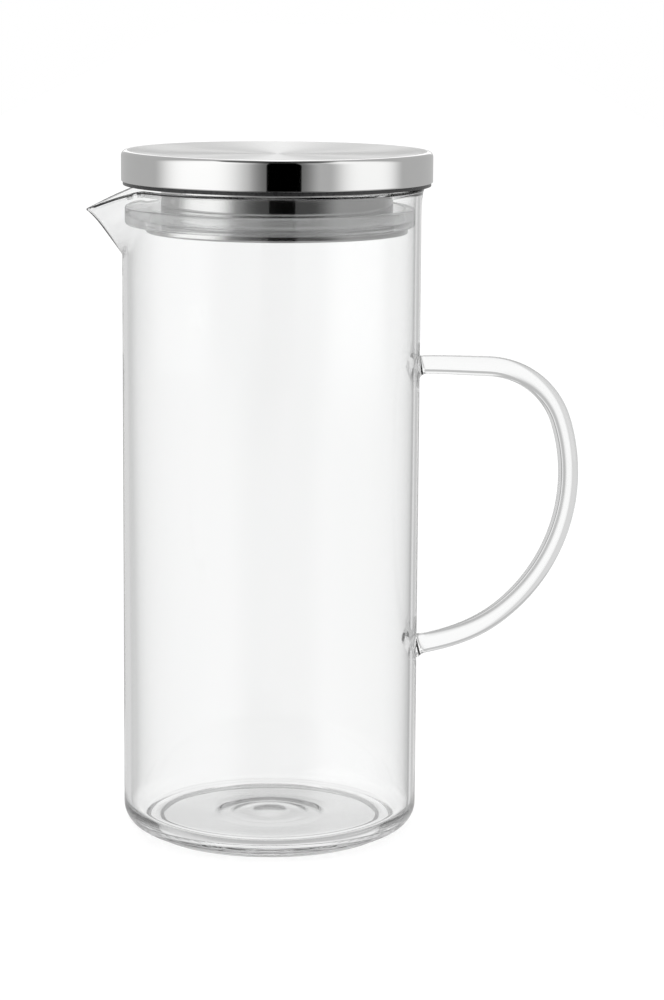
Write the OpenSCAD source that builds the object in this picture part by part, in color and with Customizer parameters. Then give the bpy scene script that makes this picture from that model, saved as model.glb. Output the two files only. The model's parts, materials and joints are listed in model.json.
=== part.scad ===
// Glass jug with a spout, a fused rod handle and a drop-in steel lid with a soft seal.
// Millimetres. The jug stands on z = 0 with its axis on Z, the spout towards -X, the handle towards +X.

/* [Glass body] */
// Outer diameter of the glass body
body_d = 105; // [96:0.5:116]
// Height of the glass body, from the table to the rim
body_h = 231.3; // [210:0.1:260]
// Thickness of the glass wall
wall_t = 2.3; // [1.8:0.1:3]
// Thickness of the glass floor beside the wall
floor_t = 4; // [3:0.1:6]
// Outer radius of the bottom corner
corner_r = 8; // [6:0.25:11]
// Inner radius of the bottom corner
inner_corner_r = 6; // [4:0.25:9]
// How far the foot ring stays back from the wall
foot_inset = 8.5; // [7.5:0.25:12]
// Width of the foot ring
foot_w = 5; // [3:0.25:8]
// Height of the foot ring
foot_h = 1.5; // [1:0.1:2.5]
// How far the middle of the floor is pushed up
pushup_h = 2.6; // [1.5:0.1:4]
// How far the rim flares outwards
flare_w = 0.9; // [0.5:0.1:1.4]
// Height of the flared stretch under the rim
flare_h = 11; // [8:0.5:14]

/* [Spout] */
// How far the spout's tip stands out from the wall
spout_out = 12.9; // [11:0.1:16]
// How far the spout's tip lies below the rim
spout_drop = 8.6; // [7:0.1:10]
// Length over which the rim droops to the tip
droop_run = 22.4; // [18:0.2:26]
// Slope of the keel under the spout, in degrees
keel_slope = 47.5; // [44:0.5:50]
// How deep the spout's flanks run into the wall
flank_sink = 0.8; // [0.6:0.05:1.1]
// Length that is cut off the spout's sharp point
tip_cut = 1; // [0.6:0.1:1.4]

/* [Handle] */
// Diameter of the glass rod
rod_d = 7.1; // [6:0.1:9]
// Height of the straight top stretch above the table
handle_top_z = 167.8; // [155:0.2:180]
// How far the handle stands out from the body's wall
handle_reach = 56.8; // [50:0.2:64]
// Radius of the shoulder bend, on the rod's centre line
shoulder_r = 27.4; // [22:0.2:32]
// Angle at which the shoulder bend passes into the long back bend, in degrees
shoulder_end = 18; // [10:0.5:26]
// Radius of the long back bend, on the rod's centre line
back_r = 64; // [58:0.5:70]
// Diameter of the upper weld where it spreads on the wall
upper_weld_d = 12.9; // [10.5:0.1:16]
// Diameter of the lower weld where it spreads on the wall
lower_weld_d = 11.4; // [10.5:0.1:16]
// Length of each weld, from the wall to the plain rod
weld_l = 3.6; // [2.8:0.1:5]

/* [Lid] */
// How far the steel lid sits off the jug's axis, towards the handle
lid_offset = 1.8; // [0:0.1:2.2]
// How far the steel cap reaches past the glass wall
cap_overhang = 1.9; // [1.5:0.1:4]
// Height of the steel cap
cap_h = 10.6; // [9:0.2:16]
// Radius of the cap's top edge
cap_edge_r = 1.5; // [1.2:0.1:2.6]
// Depth of the dish in the cap's top
dish_h = 1.2; // [0.6:0.1:1.6]
// Thickness of the steel sheet
sheet_t = 0.8; // [0.6:0.05:1]
// Height of the moulded base's edge that shows under the cap
band_h = 1.3; // [0.9:0.1:2]
// How far the moulded base's edge stays back from the cap's side
band_inset = 0.4; // [0.2:0.05:0.6]
// Thickness of the moulded base
base_t = 3.2; // [2.6:0.1:4.5]
// Height of the moulded base's collar inside the cap
collar_h = 3; // [2:0.1:4]
// Thickness of the moulded base's collar
collar_t = 1.8; // [1.4:0.1:2.4]

/* [Plug] */
// Space between the polished neck and the glass
neck_inset = 9.5; // [8:0.1:11]
// Depth of the neck below the moulded base
neck_h = 14.2; // [12:0.1:17]
// How far the steel bottom stands out from the neck
bottom_lip_w = 5.3; // [4.4:0.1:6]
// Height of the steel bottom's rounded edge
bottom_h = 2.2; // [1.8:0.1:3]
// Height of the bottom's collar inside the neck
bottom_collar_h = 5; // [3:0.2:7]

/* [Seal] */
// Height of the soft seal
seal_h = 6.3; // [5:0.1:7.5]
// Thickness of the seal's web, which lies on the steel bottom
seal_t = 1.8; // [1.5:0.1:2.2]
// Width of the open trough between the neck and the seal's ring
seal_trough_w = 4.4; // [3.6:0.1:4.8]
// Radius of the lower outer edge of the seal
seal_edge_r = 1.4; // [0.8:0.1:1.4]

/* [Screws] */
// Number of screws that hold the neck to the moulded base
screw_count = 3; // [3:1:6]
// Diameter of the screws
screw_d = 3; // [2.5:0.1:3.5]
// Length of the screw shanks
screw_l = 7; // [6:0.1:8]
// Distance of the screws from the lid's axis
screw_ring_r = 28; // [24:0.5:31]
// Diameter of the screw heads
screw_head_d = 5.5; // [5:0.1:6.5]
// Height of the screw heads
screw_head_h = 2; // [1.6:0.1:2.6]
// Width of the hexagon socket, over its corners
screw_socket_d = 2.6; // [2:0.1:3]
// Depth of the hexagon socket
screw_socket_h = 1.2; // [0.8:0.1:1.4]
// Wall of the boss round each screw
boss_wall_t = 1.8; // [1.4:0.1:2.4]
// Cover of the boss over the end of each screw
boss_cover_t = 1; // [0.6:0.1:1.4]

/* [Fits] */
// Gap between the seal and the glass
seal_gap = 0.3; // [0.2:0.05:0.5]
// Gap under the moulded base where it rests on the rim
seat_gap = 0.2; // [0.1:0.05:0.3]
// Running gap between the seal and the steel plug
turn_gap = 0.1; // [0.05:0.01:0.1]
// Fit of pieces that are pressed into each other
press_gap = 0.05; // [0.02:0.01:0.08]

/* [Hidden] */
$fn = 96;
// Facets of very shallow domes, and of cuts that have to hug the glass
fine_fn = 720;
// Sides of the glass rod, and the steps of its two bends
rod_sides = 24;
shoulder_steps = 12;
back_steps = 24;
// Overrun of every cut past the face that it opens
over = 1;

// Radius of a circle that rises by a height over half of its chord
function arc_radius(rise, half) = (rise * rise + half * half) / (2 * rise);

// Glass body
body_r = body_d / 2;
bore_r = body_r - wall_t;
floor_z = foot_h + floor_t;
floor_flat_r = bore_r - inner_corner_r;
floor_dome_r = arc_radius(pushup_h, floor_flat_r);
foot_r = body_r - foot_inset;
recess_r = foot_r - foot_w;
recess_dome_r = arc_radius(pushup_h, recess_r);
flare_r = arc_radius(flare_w, flare_h);

// Spout
spout_reach = body_r + spout_out;
spout_half_angle = asin((body_r - flank_sink) / (spout_reach + tip_cut));
spout_tilt = spout_half_angle - keel_slope;
tip_z = body_h - spout_drop;
channel_shift = wall_t / sin(spout_half_angle);
droop_r = arc_radius(spout_drop, droop_run);

// Handle
rod_r = rod_d / 2;
rod_start_x = body_r + weld_l;
back_x = body_r + handle_reach - rod_r - back_r;
shoulder_x = back_x + (back_r - shoulder_r) * cos(shoulder_end);
shoulder_z = handle_top_z - shoulder_r;
back_z = shoulder_z - (back_r - shoulder_r) * sin(shoulder_end);
back_end = -acos((rod_start_x - back_x) / back_r);
back_end_z = back_z + back_r * sin(back_end);

// Lid
cap_r = body_r + cap_overhang;
cap_bore_r = cap_r - sheet_t;
base_z = body_h + seat_gap;
cap_z = base_z + band_h;
cap_top_z = cap_z + cap_h;
dish_r = arc_radius(dish_h, cap_r - cap_edge_r);
collar_r = cap_bore_r - press_gap;

// Plug
neck_r = bore_r - neck_inset;
neck_bore_r = neck_r - sheet_t;
neck_z = base_z - neck_h;
bottom_edge_r = bottom_h / 2;
bottom_edge_x = neck_r + bottom_lip_w - bottom_edge_r;
bottom_collar_r = neck_bore_r - press_gap;

// Screws
screw_r = screw_d / 2;
screw_z = base_z - sheet_t;
boss_r = screw_r + boss_wall_t;
boss_top_z = screw_z + screw_l + boss_cover_t;

// Seal
seal_r = bore_r - seal_gap;
seal_bore_r = neck_r + turn_gap;
seal_trough_r = neck_r + seal_trough_w;
seal_z = neck_z + turn_gap;
seal_top_z = seal_z + seal_h;

// Colours of the finishes
clear_glass = [0.86, 0.9, 0.9, 0.5];
bright_steel = [0.78, 0.78, 0.78];
dark_grey = [0.2, 0.2, 0.21];
milky_white = [0.92, 0.92, 0.9, 0.8];

// Half outline of a round block with a rounded upper or lower edge
module edged_half(r, h, edge) {
    square([r, h - edge]);
    square([r - edge, h]);
    translate([r - edge, h - edge])
        intersection() {
            circle(edge);
            square(edge);
        }
}

// Spout cone with its blunt end at the tip, moved inwards along its own axis
module spout_cone(shift) {
    point_reach = spout_reach + tip_cut - shift;
    length = point_reach * cos(spout_half_angle) * cos(spout_half_angle);
    translate([-spout_reach, 0, tip_z])
        rotate([0, 90 - spout_tilt, 0])
            translate([0, 0, shift - tip_cut])
                cylinder(h = length, r1 = 0, r2 = length * tan(spout_half_angle));
}

// Space above the rim, and above the rim's droop towards the tip
module above_rim() {
    droop_x = droop_run - spout_reach;
    translate([-spout_reach - over, -body_r - over, body_h])
        cube([spout_reach + body_d, body_d + 2 * over, body_d]);
    difference() {
        translate([-spout_reach - over, -body_r, tip_z])
            cube([droop_run + over, body_d, spout_drop + over]);
        translate([droop_x, 0, body_h - droop_r])
            rotate([90, 0, 0])
                cylinder(h = body_d + 2 * over, r = droop_r, center = true, $fn = fine_fn);
    }
    translate([-spout_reach - body_r, -body_r, tip_z - body_r])
        cube([body_r, body_d, body_d]);
}

// Half outline of the glass without its hollow
module glass_half() {
    translate([0, body_h])
        mirror([0, 1])
            edged_half(body_r, body_h - foot_h, corner_r);
    translate([recess_r, 0])
        square([foot_w, foot_h + floor_t / 2]);
    difference() {
        translate([body_r - wall_t / 2, body_h - flare_h])
            square([wall_t / 2 + flare_w, flare_h]);
        translate([body_r + flare_r, body_h - flare_h])
            circle(flare_r, $fn = fine_fn);
    }
}

// Half outline of the hollow, with the floor pushed up in the middle
module hollow_half() {
    difference() {
        translate([0, body_h + over])
            mirror([0, 1])
                edged_half(bore_r, body_h + over - floor_z, inner_corner_r);
        translate([0, floor_z + pushup_h - floor_dome_r])
            circle(floor_dome_r, $fn = fine_fn);
    }
}

// Recess under the floor, inside the foot ring
module foot_recess() {
    intersection() {
        translate([0, 0, -over])
            cylinder(h = over + foot_h + pushup_h, r = recess_r);
        translate([0, 0, foot_h + pushup_h - recess_dome_r])
            sphere(recess_dome_r, $fn = fine_fn);
    }
}

module glass_body() {
    color(clear_glass)
        difference() {
            union() {
                rotate_extrude()
                    glass_half();
                spout_cone(0);
            }
            rotate_extrude()
                hollow_half();
            spout_cone(channel_shift);
            above_rim();
            foot_recess();
        }
}

// Stops along a bend about a centre in the XZ plane: x, z and the angle of the rod's cross-section
function bend_stops(x, z, r, from, to, steps) = [
    for (i = [0 : steps])
        let (a = from + (to - from) * i / steps)
        [x + r * cos(a), z + r * sin(a), a]
];

// One ring of points round the rod at a stop
function rod_ring(stop) = [
    for (i = [0 : rod_sides - 1])
        let (t = i * 360 / rod_sides, out = rod_r * cos(t))
        [stop[0] + out * cos(stop[2]), rod_r * sin(t), stop[1] + out * sin(stop[2])]
];

module glass_handle() {
    stops = concat(
        [[rod_start_x, handle_top_z, 90]],
        bend_stops(shoulder_x, shoulder_z, shoulder_r, 90, shoulder_end, shoulder_steps),
        [for (i = [1 : back_steps])
            bend_stops(back_x, back_z, back_r, shoulder_end, back_end, back_steps)[i]]
    );
    rings = len(stops) - 1;
    points = [for (stop = stops) each rod_ring(stop)];
    sides = [
        for (k = [0 : rings - 1], i = [0 : rod_sides - 1])
            let (j = (i + 1) % rod_sides, low = k * rod_sides, high = low + rod_sides)
            each [[low + i, low + j, high + j], [low + i, high + j, high + i]]
    ];
    first_end = [for (i = [rod_sides - 1 : -1 : 0]) i];
    last_end = [for (i = [0 : rod_sides - 1]) rings * rod_sides + i];
    color(clear_glass)
        polyhedron(points, concat(sides, [first_end, last_end]));
}

// Weld that spreads from the rod's end, on the origin, along +Z to the wall
module weld(d) {
    spread_r = max(weld_l, d / 2 - rod_r);
    rotate_extrude()
        difference() {
            square([d / 2, weld_l + d / 2]);
            translate([rod_r + spread_r, 0])
                circle(spread_r);
        }
}

module upper_handle_weld() {
    color(clear_glass)
        difference() {
            translate([rod_start_x, 0, handle_top_z])
                rotate([0, -90, 0])
                    weld(upper_weld_d);
            cylinder(h = body_h, r = body_r, $fn = fine_fn);
        }
}

module lower_handle_weld() {
    color(clear_glass)
        difference() {
            translate([rod_start_x, 0, back_end_z])
                rotate([0, 180 - back_end, 0])
                    weld(lower_weld_d);
            cylinder(h = body_h, r = body_r, $fn = fine_fn);
        }
}

// Drawn steel cap with a dished top, open below
module lid_cap() {
    color(bright_steel)
        translate([lid_offset, 0, cap_z])
            rotate_extrude()
                difference() {
                    edged_half(cap_r, cap_h, cap_edge_r);
                    difference() {
                        translate([0, -over])
                            edged_half(cap_bore_r, cap_h - sheet_t + over, cap_edge_r - sheet_t);
                        translate([0, cap_h - sheet_t - dish_h + dish_r])
                            circle(dish_r, $fn = fine_fn);
                    }
                    translate([0, cap_h - dish_h + dish_r])
                        circle(dish_r, $fn = fine_fn);
                }
}

// Places of the screws round the lid's axis
module at_screws() {
    for (i = [0 : screw_count - 1])
        rotate([0, 0, i * 360 / screw_count])
            translate([screw_ring_r, 0, 0])
                children();
}

// Moulded base that closes the cap, with a collar inside it and a boss for each screw
module lid_base() {
    color(dark_grey)
        translate([lid_offset, 0, 0])
            difference() {
                union() {
                    translate([0, 0, base_z])
                        cylinder(h = band_h, r = cap_r - band_inset);
                    translate([0, 0, base_z])
                        difference() {
                            cylinder(h = base_t + collar_h, r = collar_r);
                            translate([0, 0, base_t])
                                cylinder(h = collar_h + over, r = collar_r - collar_t);
                        }
                    at_screws()
                        translate([0, 0, base_z])
                            cylinder(h = boss_top_z - base_z, r = boss_r);
                }
                at_screws()
                    translate([0, 0, screw_z])
                        cylinder(h = screw_l, r = screw_r);
            }
}

// Polished neck: a drawn cup with its closed end against the moulded base
module plug_neck() {
    color(bright_steel)
        translate([lid_offset, 0, 0])
            difference() {
                translate([0, 0, neck_z])
                    cylinder(h = neck_h, r = neck_r);
                translate([0, 0, neck_z - over])
                    cylinder(h = neck_h - sheet_t + over, r = neck_bore_r);
                at_screws()
                    translate([0, 0, screw_z - over])
                        cylinder(h = sheet_t + 2 * over, r = screw_r + turn_gap);
            }
}

// Steel bottom with a round edge and a collar that grips the inside of the neck
module plug_bottom() {
    color(bright_steel)
        translate([lid_offset, 0, neck_z])
            rotate_extrude() {
                translate([0, -sheet_t])
                    square([bottom_edge_x, sheet_t]);
                translate([bottom_edge_x, -bottom_edge_r])
                    circle(bottom_edge_r);
                translate([bottom_collar_r - sheet_t, -sheet_t])
                    square([sheet_t, sheet_t + bottom_collar_h]);
            }
}

module lid_screws() {
    color(bright_steel)
        translate([lid_offset, 0, screw_z])
            at_screws()
                difference() {
                    union() {
                        cylinder(h = screw_l, r = screw_r);
                        translate([0, 0, -screw_head_h])
                            cylinder(h = screw_head_h, r = screw_head_d / 2);
                    }
                    translate([0, 0, -screw_head_h - over])
                        cylinder(h = over + screw_socket_h, d = screw_socket_d, $fn = 6);
                }
}

// Soft seal: a ring that fills the jug's mouth, with a web that lies on the steel bottom round the neck
module seal() {
    color(milky_white)
        difference() {
            translate([0, 0, seal_top_z])
                mirror([0, 0, 1])
                    rotate_extrude()
                        edged_half(seal_r, seal_h, seal_edge_r);
            translate([lid_offset, 0, seal_z - over])
                cylinder(h = seal_h + 2 * over, r = seal_bore_r);
            translate([lid_offset, 0, seal_z + seal_t])
                cylinder(h = seal_h, r = seal_trough_r);
        }
}

glass_body();
glass_handle();
upper_handle_weld();
lower_handle_weld();
lid_cap();
lid_base();
plug_neck();
plug_bottom();
lid_screws();
seal();
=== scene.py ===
# %% [markdown]
# A glass pitcher with a steel lid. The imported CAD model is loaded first, as a fixed
# frame: it says where every piece is and how it moves. The cells after it build the
# looks around that frame, one piece at a time, all in metres.

# %% Load the fixed frame
import json
import math

import bmesh
import bpy
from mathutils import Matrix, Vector

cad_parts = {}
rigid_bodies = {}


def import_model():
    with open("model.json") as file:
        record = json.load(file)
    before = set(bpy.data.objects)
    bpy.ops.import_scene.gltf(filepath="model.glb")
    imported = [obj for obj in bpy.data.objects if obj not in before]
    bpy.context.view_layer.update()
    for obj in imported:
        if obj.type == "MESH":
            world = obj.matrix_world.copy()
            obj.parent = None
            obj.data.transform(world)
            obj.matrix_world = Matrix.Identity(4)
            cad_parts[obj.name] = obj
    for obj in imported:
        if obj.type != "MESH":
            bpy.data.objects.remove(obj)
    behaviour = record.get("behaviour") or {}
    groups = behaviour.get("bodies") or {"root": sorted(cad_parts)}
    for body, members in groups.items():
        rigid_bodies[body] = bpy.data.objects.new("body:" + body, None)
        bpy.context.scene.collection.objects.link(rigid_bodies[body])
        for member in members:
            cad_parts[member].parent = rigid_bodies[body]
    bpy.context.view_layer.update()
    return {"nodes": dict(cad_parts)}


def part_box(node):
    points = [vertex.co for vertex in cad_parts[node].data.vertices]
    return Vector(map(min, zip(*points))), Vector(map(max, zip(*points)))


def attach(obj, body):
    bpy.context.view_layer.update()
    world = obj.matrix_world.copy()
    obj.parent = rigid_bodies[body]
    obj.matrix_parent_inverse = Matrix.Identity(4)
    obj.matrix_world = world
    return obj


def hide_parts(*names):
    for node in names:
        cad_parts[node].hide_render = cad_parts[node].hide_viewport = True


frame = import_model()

# %% [markdown]
# Almost everything here is round, so one helper does most of the work. It draws half of
# a piece's section point by point, as a chain of extruded vertices, and then spins the
# chain about an upright axis, as a glass blower or a metal spinner does. Scaling a
# stack of circles would also do, but a drawn section is easier to read and to change.

# %% Helpers: mm, sections and the lathe
MM = 0.001
SAME_POINT = 0.002


def start_fresh():
    """Leaves nothing selected, so that the next operator acts on the new piece alone."""
    if bpy.context.object and bpy.context.object.mode != "OBJECT":
        bpy.ops.object.mode_set(mode="OBJECT")
    bpy.ops.object.select_all(action="DESELECT")


def bow(centre_r, centre_z, radius, start_deg, end_deg, steps):
    """Points on a round corner of a section, in mm."""
    turn = [math.radians(start_deg + (end_deg - start_deg) * i / steps) for i in range(steps + 1)]
    return [(centre_r + radius * math.cos(a), centre_z + radius * math.sin(a)) for a in turn]


def rows(radius, low, high, steps):
    """Points up or down a straight wall, in mm."""
    return [(radius, low + (high - low) * i / steps) for i in range(steps + 1)]


def turn_on_lathe(name, section, steps, axis_x=0.0, closed=False):
    """Draws a section of (radius, height) points in mm and spins it into a solid."""
    start_fresh()
    bpy.ops.mesh.primitive_plane_add(size=MM)
    piece = bpy.context.object
    piece.name = name
    bpy.ops.object.mode_set(mode="EDIT")
    bpy.ops.mesh.merge(type="CENTER")
    drawn = [(axis_x + r, z) for r, z in section]
    if closed:
        drawn.append(drawn[0])
    bpy.ops.transform.translate(value=(drawn[0][0] * MM, 0, drawn[0][1] * MM))
    for (x0, z0), (x1, z1) in zip(drawn, drawn[1:]):
        step = ((x1 - x0) * MM, 0, (z1 - z0) * MM)
        bpy.ops.mesh.extrude_vertices_move(TRANSFORM_OT_translate={"value": step})
    bpy.ops.mesh.select_all(action="SELECT")
    bpy.ops.mesh.spin(steps=steps, angle=2 * math.pi, center=(axis_x * MM, 0, 0), axis=(0, 0, 1))
    bpy.ops.mesh.select_all(action="SELECT")
    bpy.ops.mesh.remove_doubles(threshold=SAME_POINT * MM)
    bpy.ops.mesh.normals_make_consistent(inside=False)
    bpy.ops.object.mode_set(mode="OBJECT")
    return piece


def finish_piece(piece, smooth_deg):
    """Smooth shading with sharp edges kept, and a line on what was made."""
    start_fresh()
    piece.select_set(True)
    bpy.context.view_layer.objects.active = piece
    bpy.ops.object.shade_smooth_by_angle(angle=math.radians(smooth_deg))
    mesh = bmesh.new()
    mesh.from_mesh(piece.data)
    open_edges = sum(1 for e in mesh.edges if len(e.link_faces) != 2)
    print(f"{piece.name}: {len(mesh.faces)} faces, {open_edges} open edges, "
          f"{mesh.calc_volume() * 1e9:.0f} mm3")
    mesh.free()
    return piece


# %% [markdown]
# The glass body is one blown cylinder: a thick floor with a pressed foot ring, round
# corners, a thin wall and a fire-polished rim that opens a little. The section runs from
# the middle of the underside, round the foot, up the outside, over the rim and down the
# inside to the middle of the floor. Rows of points are close together where the lip is
# pulled and where the handle is fused on, because the mesh has to bend or be cut there.

# %% Sizes of the glass, from the frame
body_low, body_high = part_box("glass_body")
FLARE_W = 0.9
RIM_UNDER_FRAME = 0.3
BODY_R = body_high.y / MM - FLARE_W
RIM_Z = body_high.z / MM - RIM_UNDER_FRAME
WALL_T = 2.3
FOOT_H = 1.5
FLARE_H = 11.0
FLOOR_Z = 5.5
CORNER_R = 8.0
INNER_CORNER_R = 6.0
RIM_T = 1.7
THIN_FROM_Z, THIN_OVER = 40, 130
LIP_R = RIM_T / 2
BODY_STEPS = 256
print("body radius", round(BODY_R, 2), "rim height", round(RIM_Z, 2))


# %% The glass body on the lathe
def flare(z):
    """How far the wall leans out near the rim, in mm."""
    share = max(0.0, (z - (RIM_Z - FLARE_H)) / FLARE_H)
    return FLARE_W * share ** 3


def wall(z):
    """Thickness of the wall, which was drawn a little thinner upwards, in mm."""
    return WALL_T - (WALL_T - RIM_T) * max(0.0, min(1.0, (z - THIN_FROM_Z) / THIN_OVER))


LEVELS = [14, 20, 30, 42, 52]
LEVELS += [54 + 1.5 * i for i in range(17)]
LEVELS += [84, 96, 110, 125, 140, 150]
LEVELS += [154 + 1.5 * i for i in range(19)]
LEVELS += [186, 192, 197]
LEVELS += [200 + 1.2 * i for i in range(26)]

underside = [(0, 2.75), (2, 2.74), (4, 2.68), (6, 2.52), (8, 2.4), (10, 2.36)]
underside += [(12.3, 2.34), (13.2, 2.24), (14.1, 2.14), (15, 2.11), (17.4, 2.08)]
underside += [(18.4, 1.92), (19.4, 1.76), (20.5, 1.71), (26, 1.67), (32, 1.63), (36.5, 1.6)]
foot = bow(38.2, 0.8, 0.8, 90, 0, 4) + bow(39.8, 0.8, 0.8, 180, 270, 5) + [(41.5, 0)]
foot += bow(43.0, 0.8, 0.8, 270, 350, 5)
corner = bow(44.5, FOOT_H + CORNER_R, CORNER_R, 274, 360, 14)
outside = [(BODY_R + flare(z), z) for z in LEVELS]
rim = bow(BODY_R + FLARE_W - LIP_R, RIM_Z - LIP_R, LIP_R, 0, 180, 10)
inside = [(BODY_R - wall(z) + flare(z), z) for z in reversed(LEVELS)]
inner_r = BODY_R - WALL_T - INNER_CORNER_R
inner_corner = bow(inner_r, FLOOR_Z + INNER_CORNER_R, INNER_CORNER_R, 0, -90, 14)
floor_top = [(38, 5.5), (30, 5.49), (22, 5.47), (18, 5.45), (14, 5.42), (11.5, 5.42)]
floor_top += [(10, 5.5), (8.5, 5.6), (7, 5.62), (4, 5.56), (0, 5.54)]
outer_half = underside + foot + corner + outside
inner_half = rim + inside + inner_corner + floor_top
glass_jug = turn_on_lathe("glass_jug", outer_half + inner_half, BODY_STEPS)
print("glass body:", len(glass_jug.data.vertices), "points")

# %% [markdown]
# The pouring lip is pulled out of the hot rim with a tool. Seen from above, it is what a
# string pulled round the wall and a small tip circle would follow: straight flanks that
# leave the wall smoothly. The tip circle sinks into the wall further down, which makes
# the keel below the lip, and the rim droops towards the tip. Proportional editing pulls
# a bump with round flanks, so a short rule moves the points of the wall instead.

# %% Pull the pouring lip
LIP_OUT = -body_low.x / MM - BODY_R
LIP_DROP = 8.6
LIP_DEPTH = 21.6
TIP_R = 2.6
TIP_T = 1.0
DROOP_FROM = 43.5
DROOP_BEND = 1.2
LIP_FADE = 26.0
CROWD_DEG = 62.0
CROWD_LEAST = 0.3
WALL_FROM_Z = 170.0
WALL_FROM_R = 40.0


def lip_reach(angle, wall_r, tip_c, tip_r):
    """Radius at an angle of the string round the wall circle and the tip circle, in mm."""
    if tip_c + tip_r <= wall_r:
        return wall_r
    touch = math.acos((wall_r - tip_r) / tip_c)
    angle = abs(angle)
    if angle >= touch:
        return wall_r
    edge = math.atan2(tip_r * math.sin(touch), tip_c + tip_r * math.cos(touch))
    if angle >= edge:
        return wall_r / math.cos(touch - angle)
    half_chord = math.sqrt(max(0.0, tip_r ** 2 - (tip_c * math.sin(angle)) ** 2))
    return tip_c * math.cos(angle) + half_chord


def ease(share):
    """A share from 0 to 1 with a soft start and end."""
    share = min(1.0, max(0.0, share))
    return share * share * (3 - 2 * share)


def crowd(angle):
    """Moves the columns of points closer together at the tip."""
    share = min(1.0, abs(angle) / math.radians(CROWD_DEG))
    return angle * (CROWD_LEAST + (1 - CROWD_LEAST) * share ** 1.2)


for point in glass_jug.data.vertices:
    x, y, z = (c / MM for c in point.co)
    radius = math.hypot(x, y)
    if z < WALL_FROM_Z or radius < WALL_FROM_R:
        continue
    depth = RIM_Z - z
    fade = 1 - ease((depth - LIP_DEPTH) / LIP_FADE)
    angle = math.atan2(y, -x)
    angle += (crowd(angle) - angle) * fade
    outer = BODY_R + flare(z)
    inner = outer - wall(z)
    pull = max(0.0, 1 - depth / LIP_DEPTH)
    tip_c = outer - TIP_R + LIP_OUT * pull - FLARE_W * pull
    thin = wall(z) - (wall(z) - TIP_T) * pull
    share = (radius - inner) / wall(z)
    reach_in = lip_reach(angle, inner, tip_c, TIP_R - thin)
    reach_out = lip_reach(angle, outer, tip_c, TIP_R)
    radius = reach_in + (reach_out - reach_in) * share
    x, y = -radius * math.cos(angle), radius * math.sin(angle)
    past = max(0.0, -x - DROOP_FROM)
    z -= LIP_DROP * (past / (BODY_R + LIP_OUT - DROOP_FROM)) ** DROOP_BEND * fade
    point.co = (x * MM, y * MM, z * MM)
tip = min(glass_jug.data.vertices, key=lambda v: v.co.x)
print("lip tip, mm:", [round(c / MM, 1) for c in tip.co])

# %% [markdown]
# The handle is a bent glass rod. A filled circle is extruded straight out of the wall,
# spun round the tight shoulder, spun again round the long back, and led into the wall.
# Both ends sag a little and spread where the hot rod was pressed on, so the first and
# last rings are lowered, and scaled up along a small hollow curve. A bevelled curve
# would give the same tube, but not the spread ends.

# %% The handle rod
handle_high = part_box("glass_handle")[1]
ROD_R = 3.55
HANDLE_Z = handle_high.z / MM - ROD_R
SHOULDER = (76.56, 140.4)
BACK = (41.75, 129.09)
SHOULDER_TURN = 72.0
BACK_TURN = 95.0
ROD_SIDES = 48
SHOULDER_STEPS = 20
BACK_STEPS = 40
TOP_STEPS = 6
WELD_L = 2.4
UPPER_WELD_R = 4.3
LOWER_WELD_R = 4.4
NECK_ROD_R = 3.3
SAG = 0.9
LOWER_SAG = 0.4
WELD_SHARES = (0.0, 0.06, 0.14, 0.24, 0.36, 0.5, 0.66, 0.83, 1.0)
SINK = 1.1
AXIS_Y = (0, 1, 0)


def spread(share, rod_r, weld_r):
    """Radius of the rod where it spreads on the wall: share 0 is the wall, 1 the rod."""
    return rod_r + (weld_r - rod_r) * (1 - math.sqrt(1 - (1 - share) ** 2))


start_fresh()
bpy.ops.mesh.primitive_circle_add(vertices=ROD_SIDES, radius=UPPER_WELD_R * MM,
                                  fill_type="NGON", rotation=(0, math.pi / 2, 0))
rod = bpy.context.object
rod.name = "handle_rod"
bpy.ops.object.transform_apply(location=False, rotation=True, scale=False)
bpy.ops.object.mode_set(mode="EDIT")
bpy.ops.mesh.select_all(action="SELECT")
bpy.ops.transform.translate(value=((BODY_R - SINK) * MM, 0, (HANDLE_Z - SAG) * MM))


def next_ring(dx, dz, scale, centre):
    """Extrudes the selected end and scales it about its new centre, in mm."""
    bpy.ops.mesh.extrude_region_move(TRANSFORM_OT_translate={"value": (dx * MM, 0, dz * MM)})
    middle = (centre[0] * MM, 0, centre[1] * MM)
    bpy.ops.transform.resize(value=(scale,) * 3, center_override=middle)


place, size = (BODY_R - SINK, HANDLE_Z - SAG), UPPER_WELD_R
for share in WELD_SHARES:
    goal = (BODY_R + share * WELD_L, HANDLE_Z - SAG * (1 - share) ** 2)
    wide = spread(share, NECK_ROD_R, UPPER_WELD_R)
    next_ring(goal[0] - place[0], goal[1] - place[1], wide / size, goal)
    place, size = goal, wide
for i in range(1, TOP_STEPS + 1):
    goal = (place[0] + (SHOULDER[0] - place[0]) / (TOP_STEPS + 1 - i), HANDLE_Z)
    wide = NECK_ROD_R + (ROD_R - NECK_ROD_R) * i / TOP_STEPS
    next_ring(goal[0] - place[0], 0, wide / size, goal)
    place, size = goal, wide
for steps, turn, hub in ((SHOULDER_STEPS, SHOULDER_TURN, SHOULDER), (BACK_STEPS, BACK_TURN, BACK)):
    bpy.ops.mesh.spin(steps=steps, angle=-math.radians(turn),
                      center=(hub[0] * MM, 0, hub[1] * MM), axis=AXIS_Y)


def selected_centre(piece):
    """Middle of the selected points, in mm."""
    chosen = [v.co for v in bmesh.from_edit_mesh(piece.data).verts if v.select]
    return sum(chosen, Vector()) / len(chosen) / MM


end = selected_centre(rod)
lean = math.radians(90 - (SHOULDER_TURN + BACK_TURN - 90))
print("rod's lower end, mm:", [round(c, 1) for c in end])
print("lean, degrees:", round(math.degrees(lean), 1))

# %% [markdown]
# The long back ends just outside the wall, and leans. The last rings lead it in with a
# part of that lean, and spread as at the top. Then both ends are lifted by a hair, as on
# the real jug, which moving whole rings by hand would do less evenly.

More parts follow.
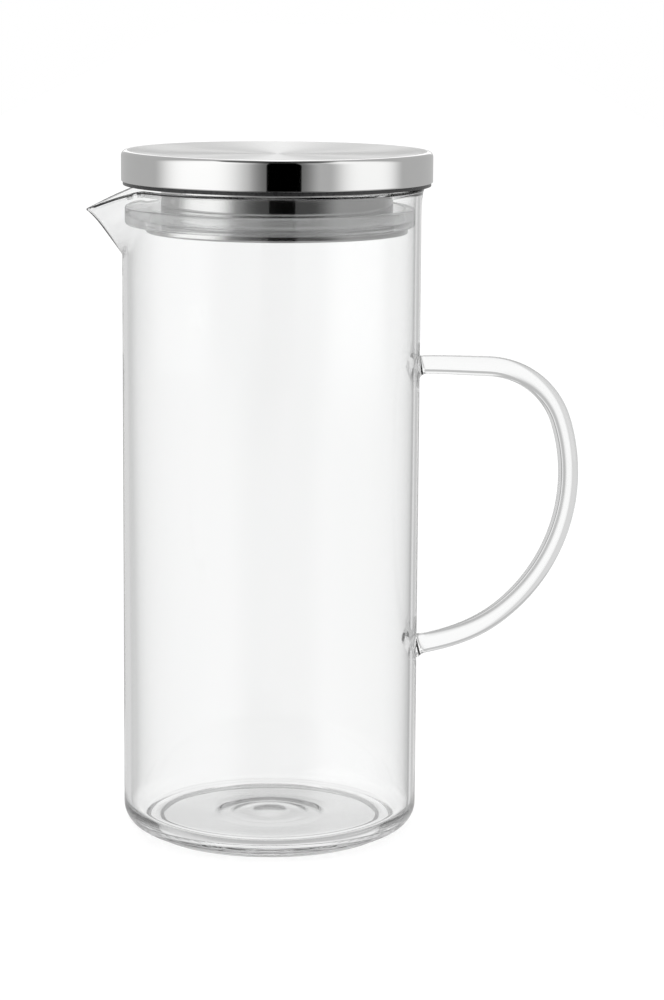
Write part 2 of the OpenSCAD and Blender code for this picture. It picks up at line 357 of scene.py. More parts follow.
# %% The rod's lower end
LEAN_SHARE = 0.6
# Each row: between which heights the end is, its lift, the distance from the axis where
# the lift begins, and the length over which it grows, in mm.
LIFTS = ((150, 250, 0.55, 84, 28), (0, 100, 1.1, 82, 26))
place, size = (end.x, end.z), ROD_R
stops = list(reversed(WELD_SHARES))[1:] + [-SINK / WELD_L]
reach = end.x - BODY_R
for share in stops:
    goal_x = BODY_R + share * reach
    goal_z = end.z - (end.x - goal_x) * math.tan(lean) * LEAN_SHARE
    goal_z -= LOWER_SAG * (1 - max(share, 0.0)) ** 2
    goal = (goal_x, goal_z)
    wide = spread(max(share, 0.0), ROD_R, LOWER_WELD_R)
    next_ring(goal[0] - place[0], goal[1] - place[1], wide / size, goal)
    place, size = goal, wide
bpy.ops.object.mode_set(mode="OBJECT")
start_fresh()
rod.select_set(True)
bpy.context.view_layer.objects.active = rod
bpy.ops.object.mode_set(mode="EDIT")
bpy.ops.mesh.select_all(action="SELECT")
bpy.ops.mesh.remove_doubles(threshold=SAME_POINT * MM)
bpy.ops.mesh.normals_make_consistent(inside=False)
bpy.ops.object.mode_set(mode="OBJECT")
for point in rod.data.vertices:
    x, z = point.co.x / MM, point.co.z / MM
    for low_z, high_z, lift, begin_x, length in LIFTS:
        if low_z < z < high_z:
            point.co.z += lift * ease((begin_x - x) / length) * MM
print("rod:", len(rod.data.vertices), "points")

# %% [markdown]
# Where the hot rod was pressed on, the soft wall also gave way, and a round swelling
# stands on its inside. A sculpt brush would do this by hand. A short rule pushes the inner
# points in instead, as a thumb would, so that it comes out the same each time.

# %% The swellings inside the wall
# Each row: between which heights the weld is, and the swelling's depth and width, in mm.
SWELLINGS = ((100.0, 250.0, 2.9, 8.5), (20.0, 100.0, 3.1, 7.5))
for low_z, high_z, depth, width in SWELLINGS:
    heights = [v.co.z / MM for v in rod.data.vertices
               if abs(v.co.x / MM - BODY_R) < 0.2 and low_z < v.co.z / MM < high_z]
    middle = sum(heights) / len(heights)
    for point in glass_jug.data.vertices:
        x, y, z = (c / MM for c in point.co)
        radius = math.hypot(x, y)
        off = math.hypot(y, z - middle)
        if x > 0 and off < width and radius < BODY_R - wall(z) / 2:
            shrink = 1 - depth * (1 - ease(off / width)) / radius
            point.co.x *= shrink
            point.co.y *= shrink
    print("weld at height", round(middle, 1), "mm, swelling", depth, "mm")

# %% [markdown]
# In the flame the rod and the wall melt into one glass, with no surface left between
# them. Two solids that only touch would show a mirror at the join, so a union makes them
# one solid, which stands for the body, the rod and both welds of the frame.

# %% Fuse the handle to the body
start_fresh()
glass_jug.select_set(True)
bpy.context.view_layer.objects.active = glass_jug
bpy.ops.object.modifier_add(type="BOOLEAN")
weld = glass_jug.modifiers[-1]
weld.operation = "UNION"
weld.solver = "EXACT"
weld.object = rod
bpy.ops.object.modifier_apply(modifier=weld.name)
bpy.data.objects.remove(rod)
finish_piece(glass_jug, smooth_deg=50)
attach(glass_jug, "jug")
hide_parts("glass_body", "glass_handle", "upper_handle_weld", "lower_handle_weld")

# %% [markdown]
# The lid's cap is pressed and spun from thin steel sheet: a shallow dish on top, a round
# crest and a straight side. The section runs over the outside and back along the inside,
# so the cap is a real hollow shell. A solid disc with a bevel would look the same from
# outside, but the real cap is thin sheet.

# %% The lid's cap
cap_low, cap_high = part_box("lid_cap")
LID_X = (cap_low.x + cap_high.x) / 2 / MM
CAP_R = (cap_high.x - cap_low.x) / 2 / MM + 0.2
CAP_LOW, CAP_TOP = cap_low.z / MM, cap_high.z / MM
SHEET_T = 0.8
DISH_H = 1.2
CREST_R = 1.9
LOW_EDGE_R = 0.15
SIDE_SHARES = (0.12, 0.25, 0.4, 0.55, 0.7, 0.85, 0.96)
LID_STEPS = 240

dish_z = CAP_TOP - DISH_H
dish = [(0, dish_z), (1.5, dish_z), (8, dish_z + 0.01), (18, dish_z + 0.04)]
dish += [(28, dish_z + 0.08), (36, dish_z + 0.13)]
slope_from, slope_to = 38.0, CAP_R - 3.6
for i in range(15):
    share = i / 14
    out = slope_from + (slope_to - slope_from) * share
    dish.append((out, dish_z + 0.16 + (DISH_H - 0.24) * ease(share)))
crest_r, crest_z = CAP_R - CREST_R, CAP_TOP - CREST_R
crest = [(CAP_R - 2.9, CAP_TOP - 0.03)] + bow(crest_r, crest_z, CREST_R, 96, 0, 14)
side = [(CAP_R, crest_z + (CAP_LOW - CAP_TOP + CREST_R) * share) for share in SIDE_SHARES]
side += bow(CAP_R - LOW_EDGE_R, CAP_LOW + LOW_EDGE_R, LOW_EDGE_R, 0, -90, 3)
shell_in = [(CAP_R - SHEET_T, CAP_LOW), (CAP_R - SHEET_T, crest_z)]
shell_in += bow(crest_r - 0.1, crest_z - 0.1, CREST_R - SHEET_T + 0.1, 0, 90, 6)
under = [(r, z - SHEET_T) for r, z in reversed(dish)]
cap_section = dish + crest + side + shell_in + under
lid_cap_steel = turn_on_lathe("lid_cap_steel", cap_section, LID_STEPS, LID_X)
finish_piece(lid_cap_steel, smooth_deg=40)
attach(lid_cap_steel, "steel_lid")
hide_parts("lid_cap")

# %% [markdown]
# Under the cap hangs the plug, which has a polished neck and a bottom. The neck is a
# spun steel tube with a flange at its top. An extruded circle with thickness would do,
# but the drawn section also gives the round corner at the flange.

# %% The plug's neck
neck_low, neck_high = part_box("plug_neck")
NECK_R = (neck_high.x - neck_low.x) / 2 / MM
NECK_LOW, NECK_TOP = neck_low.z / MM, neck_high.z / MM
FLANGE_W = 30
neck_out = [(NECK_R, NECK_LOW)] + rows(NECK_R, NECK_LOW + 0.2, NECK_TOP - 0.9, 6)
neck_out += bow(NECK_R - 0.8, NECK_TOP - 0.8, 0.8, 0, 90, 5)
neck_in = [(NECK_R - FLANGE_W, NECK_TOP), (NECK_R - FLANGE_W, NECK_TOP - SHEET_T)]
neck_in += [(NECK_R - 2, NECK_TOP - SHEET_T)]
neck_in += bow(NECK_R - 2.2, NECK_TOP - 2.2, 2.2 - SHEET_T, 90, 0, 5)
neck_in += [(NECK_R - SHEET_T, NECK_LOW)]
neck_section = neck_out + neck_in
plug_neck_steel = turn_on_lathe("plug_neck_steel", neck_section, LID_STEPS, LID_X, closed=True)
finish_piece(plug_neck_steel, smooth_deg=40)
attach(plug_neck_steel, "steel_lid")
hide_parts("plug_neck")

# %% [markdown]
# The bottom closes the plug and carries the seal. It is a shallow steel dish with a small
# round edge, and its collar fits inside the neck. It could be a cylinder with inset faces,
# but in a section the fit with the neck is easy to see.

# %% The plug's bottom
bottom_low, bottom_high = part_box("plug_bottom")
BOTTOM_R = (bottom_high.x - bottom_low.x) / 2 / MM
BOTTOM_LOW = bottom_low.z / MM
BOTTOM_TOP = BOTTOM_LOW + 2.2
COLLAR_TOP = bottom_high.z / MM
EDGE_R = 0.4
PAN_T = 1.4
pan = [(0, BOTTOM_LOW + 0.5), (12, BOTTOM_LOW + 0.48), (26, BOTTOM_LOW + 0.42)]
pan += [(36, BOTTOM_LOW + 0.3), (40, BOTTOM_LOW + 0.08)]
pan += [(42, BOTTOM_LOW)] + bow(BOTTOM_R - EDGE_R, BOTTOM_LOW + EDGE_R, EDGE_R, -90, 0, 8)
pan += bow(BOTTOM_R - 0.3, BOTTOM_TOP - 0.3, 0.3, 0, 90, 4)
COLLAR_R = NECK_R - SHEET_T - 0.1
pan += [(NECK_R, BOTTOM_TOP), (COLLAR_R, BOTTOM_TOP), (COLLAR_R, COLLAR_TOP)]
pan += [(COLLAR_R - SHEET_T, COLLAR_TOP), (COLLAR_R - SHEET_T, BOTTOM_LOW + PAN_T)]
pan += [(20, BOTTOM_LOW + PAN_T), (0, BOTTOM_LOW + PAN_T)]
plug_bottom_steel = turn_on_lathe("plug_bottom_steel", pan, LID_STEPS, LID_X)
finish_piece(plug_bottom_steel, smooth_deg=40)
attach(plug_bottom_steel, "steel_lid")
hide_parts("plug_bottom")

# %% [markdown]
# The seal is a soft, milky silicone ring that fills the jug's mouth. A web holds it on
# the steel bottom, which leaves an open trough round the neck. It is spun on the glass's
# axis. The steel sits a little nearer the handle, so the trough and the bore are then
# shifted across to the lid's axis, which leaves one side of the ring thicker.

# %% The silicone seal
seal_low, seal_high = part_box("seal")
SEAL_R = (seal_high.x - seal_low.x) / 2 / MM + 0.5
SEAL_LOW, SEAL_TOP = seal_low.z / MM, seal_high.z / MM
SEAL_BORE = NECK_R + 0.1
TROUGH_R = NECK_R + 4.4
WEB_TOP = SEAL_LOW + 1.8
LOW_R, TOP_R, SOFT_R = 1.4, 0.6, 0.4
ring = bow(SEAL_R - LOW_R, SEAL_LOW + LOW_R, LOW_R, -90, 0, 7)
ring += bow(SEAL_R - TOP_R, SEAL_TOP - TOP_R, TOP_R, 0, 90, 5)
ring += bow(TROUGH_R + SOFT_R, SEAL_TOP - SOFT_R, SOFT_R, 90, 180, 4)
ring += bow(TROUGH_R - SOFT_R, WEB_TOP + SOFT_R, SOFT_R, 0, -90, 4)
ring += [(SEAL_BORE + 0.2, WEB_TOP), (SEAL_BORE, WEB_TOP - 0.2)]
ring += [(SEAL_BORE, SEAL_LOW + 0.2), (SEAL_BORE + 0.2, SEAL_LOW)]
seal_silicone = turn_on_lathe("seal_silicone", ring, LID_STEPS, closed=True)
bpy.ops.object.mode_set(mode="EDIT")
bpy.ops.mesh.select_all(action="DESELECT")
edit = bmesh.from_edit_mesh(seal_silicone.data)
edit.select_mode = {"VERT"}
for v in edit.verts:
    v.select = math.hypot(v.co.x, v.co.y) / MM < TROUGH_R + 0.6
edit.select_flush_mode()
bmesh.update_edit_mesh(seal_silicone.data)
bpy.ops.transform.translate(value=(LID_X * MM, 0, 0))
bpy.ops.object.mode_set(mode="OBJECT")
finish_piece(seal_silicone, smooth_deg=40)
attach(seal_silicone, "seal_ring")
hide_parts("seal")

# %% [markdown]
# Clear glass has no colour to speak of, so its finish is in how it bends light. The
# wall of a drawn tube is never quite even: a broad, stretched noise drives a very weak
# bump, which makes the faint upright waves that show where light runs along the wall.
# Within about 4 cm of the middle of the underside the colour is darker, which is painted
# shade that greys the thick floor and the foot.


# %% Helpers for finishes
def new_finish(name):
    """A new node material. Returns it, its shader, a node maker and a linker."""
    finish = bpy.data.materials.new(name)
    finish.use_nodes = True
    tree = finish.node_tree
    shader = tree.nodes["Principled BSDF"]

    def add(kind, **settings):
        node = tree.nodes.new(kind)
        for key, value in settings.items():
            if hasattr(node, key):
                setattr(node, key, value)
            else:
                node.inputs[key].default_value = value
        return node

    return finish, shader, add, tree.links.new


def wear(piece, *finishes):
    """Gives a piece its finishes, in slot order."""
    piece.data.materials.clear()
    for finish in finishes:
        piece.data.materials.append(finish)
    print(piece.name, "wears", ", ".join(finish.name for finish in finishes))


# %% Clear glass
clear_glass, shader, add, link = new_finish("clear_borosilicate_glass")
shader.inputs["Roughness"].default_value = 0.0
shader.inputs["IOR"].default_value = 1.47
shader.inputs["Transmission Weight"].default_value = 1.0
place = add("ShaderNodeTexCoord")
stretch = add("ShaderNodeMapping")
stretch.inputs["Scale"].default_value = (60, 60, 9)
waves = add("ShaderNodeTexNoise", Scale=1.0, Detail=1.0)
ripple = add("ShaderNodeBump", Strength=0.02, Distance=0.001)
link(place.outputs["Object"], stretch.inputs["Vector"])
link(stretch.outputs["Vector"], waves.inputs["Vector"])
link(waves.outputs["Fac"], ripple.inputs["Height"])
link(ripple.outputs["Normal"], shader.inputs["Normal"])
tint = add("ShaderNodeValToRGB")
tint.color_ramp.elements[0].color = (0.985, 0.99, 0.988, 1)
tint.color_ramp.elements[1].color = (1, 1, 1, 1)
link(waves.outputs["Fac"], tint.inputs["Fac"])
# Painted shade: the glass colour falls to 0.86 near the middle of the underside, which greys the
# thick floor.
from_floor = add("ShaderNodeVectorMath", operation="LENGTH")
floor_painted_shade = add("ShaderNodeMapRange", interpolation_type="SMOOTHSTEP")
floor_painted_shade.inputs["From Min"].default_value = 0.036
floor_painted_shade.inputs["From Max"].default_value = 0.044
floor_painted_shade.inputs["To Min"].default_value = 0.86
floor_painted_shade.inputs["To Max"].default_value = 1.0
tint_times_painted_shade = add("ShaderNodeVectorMath", operation="MULTIPLY")
link(place.outputs["Object"], from_floor.inputs[0])
link(from_floor.outputs["Value"], floor_painted_shade.inputs["Value"])
link(tint.outputs["Color"], tint_times_painted_shade.inputs[0])
link(floor_painted_shade.outputs["Result"], tint_times_painted_shade.inputs[1])
link(tint_times_painted_shade.outputs["Vector"], shader.inputs["Base Color"])
wear(glass_jug, clear_glass)

# %% [markdown]
# The lid has two steel finishes. The side, the neck and the bottom are buffed almost to
# a mirror, with a hair of roughness that varies. The top is brushed while it turns, so
# its grooves are circles: an anisotropic gloss round the upright axis draws the bright
# fan, and a noise that depends only on the distance from the axis draws fine rings.


# %% Polished steel
def polished_steel(name, rough_low, rough_high, colour):
    """A steel finish whose roughness and tint vary a little."""
    finish, shader, add, link = new_finish(name)
    shader.inputs["Metallic"].default_value = 1.0
    place = add("ShaderNodeTexCoord")
    stretch = add("ShaderNodeMapping")
    stretch.inputs["Scale"].default_value = (90, 90, 420)
    smear = add("ShaderNodeTexNoise", Scale=1.0, Detail=3.0)
    link(place.outputs["Object"], stretch.inputs["Vector"])
    link(stretch.outputs["Vector"], smear.inputs["Vector"])
    rough = add("ShaderNodeMapRange")
    rough.inputs["To Min"].default_value = rough_low
    rough.inputs["To Max"].default_value = rough_high
    link(smear.outputs["Fac"], rough.inputs["Value"])
    link(rough.outputs["Result"], shader.inputs["Roughness"])
    tint = add("ShaderNodeValToRGB")
    tint.color_ramp.elements[0].color = tuple(0.97 * c for c in colour) + (1,)
    tint.color_ramp.elements[1].color = tuple(colour) + (1,)
    link(smear.outputs["Fac"], tint.inputs["Fac"])
    link(tint.outputs["Color"], shader.inputs["Base Color"])
    return finish


cap_side_polish = polished_steel("cap_side_polished_steel", 0.03, 0.06, (0.7, 0.7, 0.695))
plug_polish = polished_steel("plug_polished_steel", 0.03, 0.06, (0.7, 0.7, 0.695))
wear(plug_neck_steel, plug_polish)
wear(plug_bottom_steel, plug_polish)

# %% Brushed steel on the lid's top
top_brushed, shader, add, link = new_finish("lid_top_brushed_steel")
shader.inputs["Metallic"].default_value = 1.0
shader.inputs["Anisotropic"].default_value = 0.9
place = add("ShaderNodeTexCoord")
centre = add("ShaderNodeMapping")
centre.inputs["Location"].default_value = (-LID_X * MM, 0, 0)
flat = add("ShaderNodeVectorMath", operation="MULTIPLY")
flat.inputs[1].default_value = (1, 1, 0)
distance = add("ShaderNodeVectorMath", operation="LENGTH")
rings = add("ShaderNodeTexNoise", noise_dimensions="1D", Scale=1800.0, Detail=4.0)
link(place.outputs["Object"], centre.inputs["Vector"])
link(centre.outputs["Vector"], flat.inputs[0])
link(flat.outputs["Vector"], distance.inputs[0])
link(distance.outputs["Value"], rings.inputs["W"])
rough = add("ShaderNodeMapRange")
rough.inputs["To Min"].default_value = 0.36
rough.inputs["To Max"].default_value = 0.5
link(rings.outputs["Fac"], rough.inputs["Value"])
link(rough.outputs["Result"], shader.inputs["Roughness"])
tint = add("ShaderNodeValToRGB")
tint.color_ramp.elements[0].color = (0.62, 0.62, 0.615, 1)
tint.color_ramp.elements[1].color = (0.72, 0.72, 0.715, 1)
link(rings.outputs["Fac"], tint.inputs["Fac"])
link(tint.outputs["Color"], shader.inputs["Base Color"])
grooves = add("ShaderNodeTangent", direction_type="RADIAL", axis="Z")
link(grooves.outputs["Tangent"], shader.inputs["Tangent"])
wear(lid_cap_steel, cap_side_polish, top_brushed)
BRUSHED_R = CAP_R - 2.4
for face in lid_cap_steel.data.polygons:
    middle = face.center
    out = math.hypot(middle.x / MM - LID_X, middle.y / MM)
    face.material_index = 1 if out < BRUSHED_R and face.normal.z > 0.5 else 0

# %% [markdown]
# The narrow dark band under the cap is the edge of the moulded base inside the lid. Its
# shape in the frame is right, so the node stays and only gets a finish: a dark plastic
# with the fine, soft grain of a mould. The hidden screws stay too, in plain steel.

# %% Dark moulding and screw steel
dark_moulding, shader, add, link = new_finish("dark_moulded_plastic")
place = add("ShaderNodeTexCoord")
grain = add("ShaderNodeTexNoise", Scale=900.0, Detail=3.0)
link(place.outputs["Object"], grain.inputs["Vector"])
tint = add("ShaderNodeValToRGB")
tint.color_ramp.elements[0].color = (0.012, 0.012, 0.013, 1)
tint.color_ramp.elements[1].color = (0.022, 0.022, 0.023, 1)
link(grain.outputs["Fac"], tint.inputs["Fac"])
link(tint.outputs["Color"], shader.inputs["Base Color"])
rough = add("ShaderNodeMapRange")
rough.inputs["To Min"].default_value = 0.22
rough.inputs["To Max"].default_value = 0.34
link(grain.outputs["Fac"], rough.inputs["Value"])
link(rough.outputs["Result"], shader.inputs["Roughness"])
nap = add("ShaderNodeBump", Strength=0.08, Distance=0.0001)
link(grain.outputs["Fac"], nap.inputs["Height"])
link(nap.outputs["Normal"], shader.inputs["Normal"])
wear(frame["nodes"]["lid_base"], dark_moulding)
wear(frame["nodes"]["lid_screws"], polished_steel("screw_steel", 0.2, 0.35, (0.6, 0.6, 0.59)))

# %% [markdown]
# Silicone is neither clear nor opaque. A rough transmission lets the steel behind show
# as a soft shape, and the rest, a white with a fine cloud in it, keeps the ring milky.
# Its index is lower than the 1.4 of real silicone, so that it bends the view less.

# %% Milky silicone
milky, shader, add, link = new_finish("milky_silicone")
shader.inputs["IOR"].default_value = 1.15
shader.inputs["Transmission Weight"].default_value = 0.9
place = add("ShaderNodeTexCoord")
cloud = add("ShaderNodeTexNoise", Scale=140.0, Detail=2.0)
link(place.outputs["Object"], cloud.inputs["Vector"])
tint = add("ShaderNodeValToRGB")
tint.color_ramp.elements[0].color = (0.975, 0.98, 0.98, 1)
tint.color_ramp.elements[1].color = (1, 1, 1, 1)
link(cloud.outputs["Fac"], tint.inputs["Fac"])
link(tint.outputs["Color"], shader.inputs["Base Color"])
rough = add("ShaderNodeMapRange")
rough.inputs["To Min"].default_value = 0.14
rough.inputs["To Max"].default_value = 0.2
link(cloud.outputs["Fac"], rough.inputs["Value"])
link(rough.outputs["Result"], shader.inputs["Roughness"])
wear(seal_silicone, milky)

# %% [markdown]
# A product table: a plain floor that keeps the soft shadow. Its paint is grey, and what
# the camera sees of it gets a glow on top, so that it reads as white and the shadow
# stays faint. Metal and glass don't see the floor: the studio below has a plain lower
# half for them, which is easier to set than a lit table.

# %% The floor
FLOOR_SIZE, FLOOR_MIDDLE = (1.2, 12.2, 1.0), (0.0, 5.9, 0.0)
FLOOR_GLOW, FLOOR_GREY = 0.77, 0.3
start_fresh()
bpy.ops.mesh.primitive_plane_add(size=1.0)
floor = bpy.context.object
floor.scale = FLOOR_SIZE
floor.location = FLOOR_MIDDLE
bpy.ops.object.transform_apply(location=True, rotation=False, scale=True)
floor.name = "white_table"
table = bpy.data.materials.new("white_table")
table.use_nodes = True
nodes, link = table.node_tree.nodes, table.node_tree.links.new
nodes.clear()
ray = nodes.new("ShaderNodeLightPath")
glow_by = nodes.new("ShaderNodeMath")
glow_by.operation = "MULTIPLY"
glow_by.inputs[1].default_value = FLOOR_GLOW
link(ray.outputs["Is Camera Ray"], glow_by.inputs[0])
paint = nodes.new("ShaderNodeBsdfDiffuse")
paint.inputs["Color"].default_value = (FLOOR_GREY, FLOOR_GREY, FLOOR_GREY, 1)
glow = nodes.new("ShaderNodeEmission")
link(glow_by.outputs["Value"], glow.inputs["Strength"])
both = nodes.new("ShaderNodeAddShader")
link(paint.outputs["BSDF"], both.inputs[0])
link(glow.outputs["Emission"], both.inputs[1])
out = nodes.new("ShaderNodeOutputMaterial")
link(both.outputs["Shader"], out.inputs["Surface"])
floor.data.materials.append(table)
floor.visible_glossy = False
floor.visible_transmission = False
print("floor, m:", [round(c, 1) for c in floor.dimensions])

# %% [markdown]
# The studio is painted on the world by direction, because polished steel and glass show
# their whole surroundings. Lamps and boards would do too, but each of them would need a
# place, and a mirror shows every edge. A few short helpers make the Math nodes. A
# heading is an angle seen from above: 0 is the camera's side, 90 is the right.

# %% The studio
world = bpy.data.worlds.new("soft_studio")
bpy.context.scene.world = world
world.use_nodes = True
nodes, link = world.node_tree.nodes, world.node_tree.links.new
nodes.clear()
where = nodes.new("ShaderNodeTexCoord")
level = nodes.new("ShaderNodeVectorMath")
level.operation = "MULTIPLY"
level.inputs[1].default_value = (1, 1, 0)
link(where.outputs["Generated"], level.inputs[0])
heading = nodes.new("ShaderNodeVectorMath")
heading.operation = "NORMALIZE"
link(level.outputs["Vector"], heading.inputs[0])
split = nodes.new("ShaderNodeSeparateXYZ")
link(where.outputs["Generated"], split.inputs["Vector"])


def calculate(operation, a, b):
    """A Math node of two sockets or numbers."""
    node = nodes.new("ShaderNodeMath")
    node.operation = operation
    for socket, value in zip(node.inputs, (a, b)):
        if isinstance(value, (int, float)):
            socket.default_value = value
        else:
            link(value, socket)
    return node.outputs["Value"]


def towards(degrees, near, far):
    """1 within near degrees of a heading and 0 beyond far."""
    a = math.radians(degrees)
    dot = nodes.new("ShaderNodeVectorMath")
    dot.operation = "DOT_PRODUCT"
    dot.inputs[1].default_value = (math.sin(a), -math.cos(a), 0)
    link(heading.outputs["Vector"], dot.inputs[0])
    edge = nodes.new("ShaderNodeMapRange")
    edge.interpolation_type = "SMOOTHSTEP"
    edge.inputs["From Min"].default_value = math.cos(math.radians(far))
    edge.inputs["From Max"].default_value = math.cos(math.radians(near))
    link(dot.outputs["Value"], edge.inputs["Value"])
    return edge.outputs["Result"]


def rise(at, soft):
    """0 below a height of the direction and 1 above it. The height runs from -1 to 1."""
    edge = nodes.new("ShaderNodeMapRange")
    edge.interpolation_type = "SMOOTHSTEP"
    edge.inputs["From Min"].default_value = at - soft
    edge.inputs["From Max"].default_value = at + soft
    link(split.outputs["Z"], edge.inputs["Value"])
    return edge.outputs["Result"]


def times(a, b):
    return calculate("MULTIPLY", a, b)


def plus(a, b):
    return calculate("ADD", a, b)


def less(a, b):
    return calculate("SUBTRACT", a, b)


def without(share):
    """What a share leaves of 1."""
    return less(1.0, share)


def below(at, soft):
    """1 below a height of the direction and 0 above it."""
    return without(rise(at, soft))


def patch(degrees, near, far, bright):
    """A soft-edged patch of light at a heading."""
    return times(towards(degrees, near, far), bright)


# %% [markdown]
# Steel looks right with broad lights in front of it, and clear glass with a bright
# backdrop behind it. The Light Path node tells how a ray came: straight from steel or
# from the outside of the glass, or through the glass, and then through one wall or more,
# and with a reflection on its way or without. Each gets its own share of the studio,
# which lamps in a room couldn't do.

# %% How a ray came
TWO_WALLS = 3.5
ray = nodes.new("ShaderNodeLightPath")
through = ray.outputs["Is Transmission Ray"]
direct = without(through)
deep = calculate("GREATER_THAN", ray.outputs["Transmission Depth"], TWO_WALLS)
shallow = times(through, without(deep))
mirrored = calculate("MINIMUM", ray.outputs["Glossy Depth"], 1.0)
on_plug = times(times(times(through, deep), mirrored), below(0.0, 0.04))

# %% [markdown]
# The steel shows one broad soft light at the left of the camera and one at the right, on
# a grey ground that is darker in front. A narrow light at the back, above the horizon,
# draws the bright fan on the brushed top. The glass shows one light, further to the
# left, on a ground that is also darker in front. Under the horizon, both see the plain
# light of a table.

# %% The soft lights
FRONT, BACK_SIDE = 6, 180
STEEL_GROUND, GLASS_GROUND = 0.57, 0.5
TABLE_LIGHT, TABLE_LOSS = 0.58, 0.08
steel_light = plus(plus(STEEL_GROUND, patch(-58, 1, 43, 0.86)), patch(73, 1, 34, 0.76))
steel_light = less(steel_light, patch(FRONT, 9, 27, 0.4))
steel_light = plus(steel_light, times(patch(BACK_SIDE, 4, 14, 0.9), rise(0.06, 0.03)))
glass_light = plus(GLASS_GROUND, patch(-76, 1, 38, 0.9))
front_loss = less(0.42, times(shallow, 0.3))
glass_light = less(glass_light, times(towards(FRONT, 12, 62), front_loss))
glass_light = less(glass_light, times(on_plug, patch(90, 40, 66, 0.13)))
light = plus(times(steel_light, direct), times(glass_light, through))
table_light = less(TABLE_LIGHT, times(through, TABLE_LOSS))
horizon = plus(times(rise(-0.14, 0.025), through), times(rise(-0.0855, 0.006), direct))
studio = plus(times(less(light, table_light), horizon), table_light)

# %% [markdown]
# Behind the jug hangs a bright backdrop. Through the clear wall it gives the body its
# light middle and greyer flanks. A dark band runs across it, and a thin light and a thin
# dark stripe stand at its right, because curved glass shows such edges as fine lines.
# Steel that is seen through the glass doesn't show the part below the horizon.

# %% The backdrop
backdrop = calculate("MAXIMUM", patch(BACK_SIDE, 2.5, 17, 0.52), patch(215, 8, 55, 0.2))
backdrop = plus(backdrop, patch(125, 5, 38, 0.18))
backdrop = plus(backdrop, less(patch(153, 1.2, 3, 0.25), patch(147, 1.2, 3, 0.3)))
dark_band = times(times(rise(0.25, 0.03), below(0.5, 0.05)), 0.9)
backdrop = times(backdrop, without(dark_band))
backdrop = times(times(backdrop, rise(-0.8, 0.1)), less(through, on_plug))
studio = plus(studio, backdrop)

# %% [markdown]
# Where the camera stands there is a dark gap between the lights, which is the dark
# square that the steel shows. The flared rim reflects what is low in front, so the gap
# goes on there, wider and softer. A dark ceiling makes the brushed top darker.

# %% The dark gap and the ceiling
gap_top = plus(times(rise(0.79, 0.025), direct), times(rise(0.15, 0.05), through))
gap = times(towards(FRONT, 12.2, 13.0), times(rise(-0.15, 0.02), without(gap_top)))
gap = times(gap, without(shallow))
gap = plus(gap, times(towards(FRONT, 12.2, 16.0), times(below(-0.235, 0.02), 0.45)))
low_gap = times(towards(FRONT, 12.2, 40), below(-0.13, 0.03))
reflected = times(plus(direct, times(shallow, mirrored)), 0.95)
gap = calculate("MAXIMUM", gap, times(low_gap, reflected))
CEILING_AT = (0, -0.19, 0.98)
CEILING_NEAR, CEILING_FAR, CEILING_DARK = 25, 29, 0.88
ceiling = nodes.new("ShaderNodeVectorMath")
ceiling.operation = "DOT_PRODUCT"
ceiling.inputs[1].default_value = CEILING_AT
link(where.outputs["Generated"], ceiling.inputs[0])
dark = nodes.new("ShaderNodeMapRange")
dark.inputs["From Min"].default_value = math.cos(math.radians(CEILING_FAR))
dark.inputs["From Max"].default_value = math.cos(math.radians(CEILING_NEAR))
dark.inputs["To Max"].default_value = CEILING_DARK
link(ceiling.outputs["Value"], dark.inputs["Value"])
dark = times(dark.outputs["Result"], direct)
studio = times(studio, without(calculate("MAXIMUM", gap, dark)))

# %% [markdown]
# All of that is set for the front. From the sides, from behind and from above, a straight
# view through the glass would end on the dimmer parts of the studio, so such rays get a
# bright surround, as if the backdrop went all the way round.

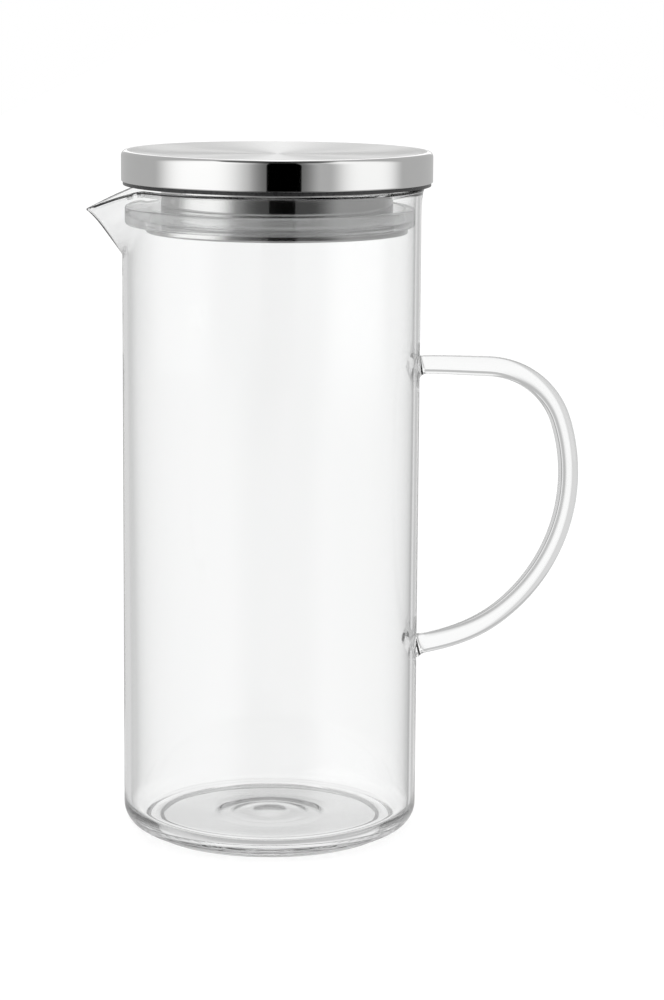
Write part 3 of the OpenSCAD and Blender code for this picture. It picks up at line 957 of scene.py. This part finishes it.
# %% A bright surround for the other sides
SURROUND, SURROUND_BEHIND = 0.9, 0.8
straight = times(times(through, deep), without(mirrored))
aside = calculate("MAXIMUM", without(towards(BACK_SIDE, 22, 36)), below(-0.4, 0.06))
studio = calculate("MAXIMUM", studio, times(times(straight, aside), SURROUND))
from_behind = times(times(through, without(mirrored)), without(towards(BACK_SIDE, 100, 120)))
studio = calculate("MAXIMUM", studio, times(from_behind, SURROUND_BEHIND))

# %% [markdown]
# Matt surfaces, which are the floor, the moulding and the milky part of the seal, take an
# even light from all round, and almost twice as much of it through the glass. The camera
# itself sees plain white.

# %% Even light, and white for the camera
EVEN_LIGHT, EVEN_GAIN = 1.0, 0.9
soft = calculate("MINIMUM", ray.outputs["Diffuse Depth"], 1.0)
even = times(soft, plus(EVEN_LIGHT, times(through, EVEN_GAIN)))
studio = plus(times(studio, without(soft)), even)
seen = calculate("MAXIMUM", studio, ray.outputs["Is Camera Ray"])
glow = nodes.new("ShaderNodeBackground")
glow.inputs["Color"].default_value = (1, 1, 1, 1)
link(seen, glow.inputs["Strength"])
out = nodes.new("ShaderNodeOutputWorld")
link(glow.outputs["Background"], out.inputs["Surface"])
print("studio:", len(nodes), "nodes")

# %% [markdown]
# The camera stands about 1.1 m in front, a little above the lid and to the right of the
# jug's middle, and looks down by ten degrees. It leans by less than half a degree. Light
# runs to and fro in a glass wall, and a path that is cut short comes out black, so the
# limits on bounces go up as well.

# %% The camera
CAMERA_PLACE = (21.8, -1110.0, 313.3)
CAMERA_DOWN = 9.91
CAMERA_LEAN = 0.41
FOCAL_PX = 3161.8
FRAME_H_PX = 1000
SENSOR_MM = 36.0
GLASS_BOUNCES = 24
lens = bpy.data.cameras.new("product_camera")
lens.sensor_width = SENSOR_MM
lens.lens = FOCAL_PX * lens.sensor_width / FRAME_H_PX
lens.clip_start, lens.clip_end = 0.05, 100.0
camera = bpy.data.objects.new("product_camera", lens)
bpy.context.scene.collection.objects.link(camera)
camera.location = [c * MM for c in CAMERA_PLACE]
camera.rotation_euler = (math.radians(90 - CAMERA_DOWN), 0, 0)
camera.rotation_euler.rotate_axis("Z", math.radians(CAMERA_LEAN))
bpy.context.scene.camera = camera
bpy.context.scene.view_settings.view_transform = "Standard"
for limit in ("max_bounces", "glossy_bounces", "transmission_bounces"):
    setattr(bpy.context.scene.cycles, limit, GLASS_BOUNCES)
print("camera at, mm:", CAMERA_PLACE)
